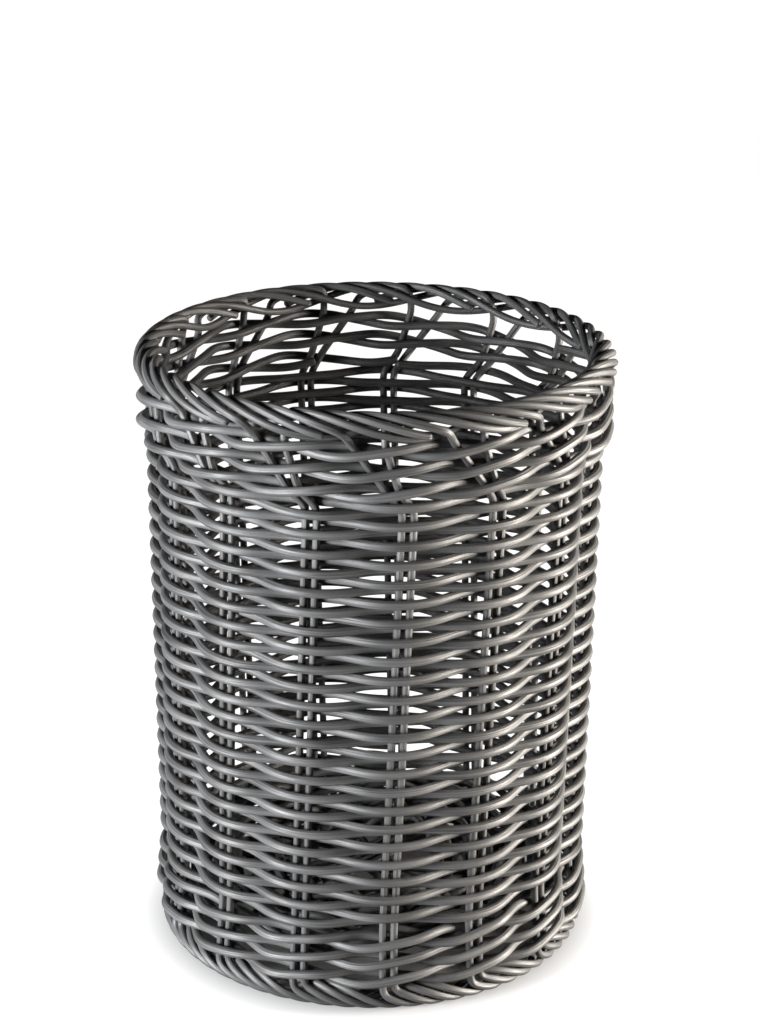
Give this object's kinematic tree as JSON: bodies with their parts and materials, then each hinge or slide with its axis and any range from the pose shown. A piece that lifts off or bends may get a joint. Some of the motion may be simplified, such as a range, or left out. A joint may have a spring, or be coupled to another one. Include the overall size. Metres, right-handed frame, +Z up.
{
  "type": "cutlery dispenser",
  "caption": "Round open basket for table cutlery, woven from round plastic strands, with a rope-like rim and foot and a raised woven base.",
  "frame": {"origin": "on the floor at the middle of the round foot", "axes": "+Z up along the axis of the round basket; -Y is the side seen in the picture"},
  "size_m": [0.1195, 0.1196, 0.154],
  "materials": {
    "stake_strand": "satin round plastic strand, finely ribbed along its length",
    "weaver_strand": "satin round plastic strand, finely ribbed along its length",
    "base_strand": "satin round plastic strand, finely ribbed along its length"
  },
  "bodies": {
    "root": {"stake_01_a": "stake_strand", "stake_01_b": "stake_strand", "stake_02_a": "stake_strand", "stake_02_b": "stake_strand", "stake_03_a": "stake_strand", "stake_03_b": "stake_strand", "stake_04_a": "stake_strand", "stake_04_b": "stake_strand", "stake_05_a": "stake_strand", "stake_05_b": "stake_strand", "stake_06_a": "stake_strand", "stake_06_b": "stake_strand", "stake_07_a": "stake_strand", "stake_07_b": "stake_strand", "stake_08_a": "stake_strand", "stake_08_b": "stake_strand", "stake_09_a": "stake_strand", "stake_09_b": "stake_strand", "stake_10_a": "stake_strand", "stake_10_b": "stake_strand", "stake_11_a": "stake_strand", "stake_11_b": "stake_strand", "stake_12_a": "stake_strand", "stake_12_b": "stake_strand", "stake_13_a": "stake_strand", "stake_13_b": "stake_strand", "stake_14_a": "stake_strand", "stake_14_b": "stake_strand", "stake_15_a": "stake_strand", "stake_15_b": "stake_strand", "side_weaver_1": "weaver_strand", "side_weaver_2": "weaver_strand", "side_weaver_3": "weaver_strand", "side_weaver_4": "weaver_strand", "side_weaver_5": "weaver_strand", "side_weaver_6": "weaver_strand", "side_weaver_7": "weaver_strand", "side_weaver_8": "weaver_strand", "side_weaver_9": "weaver_strand", "foot_wale_strand_1": "weaver_strand", "foot_wale_strand_2": "weaver_strand", "top_wale_strand_1": "weaver_strand", "top_wale_strand_2": "weaver_strand", "base_stick_1": "base_strand", "base_stick_2": "base_strand", "base_stick_3": "base_strand", "base_stick_4": "base_strand", "base_stick_5": "base_strand", "base_stick_6": "base_strand", "base_stick_7": "base_strand", "base_stick_8": "base_strand", "base_weaver": "base_strand"}
  },
  "joints": []
}
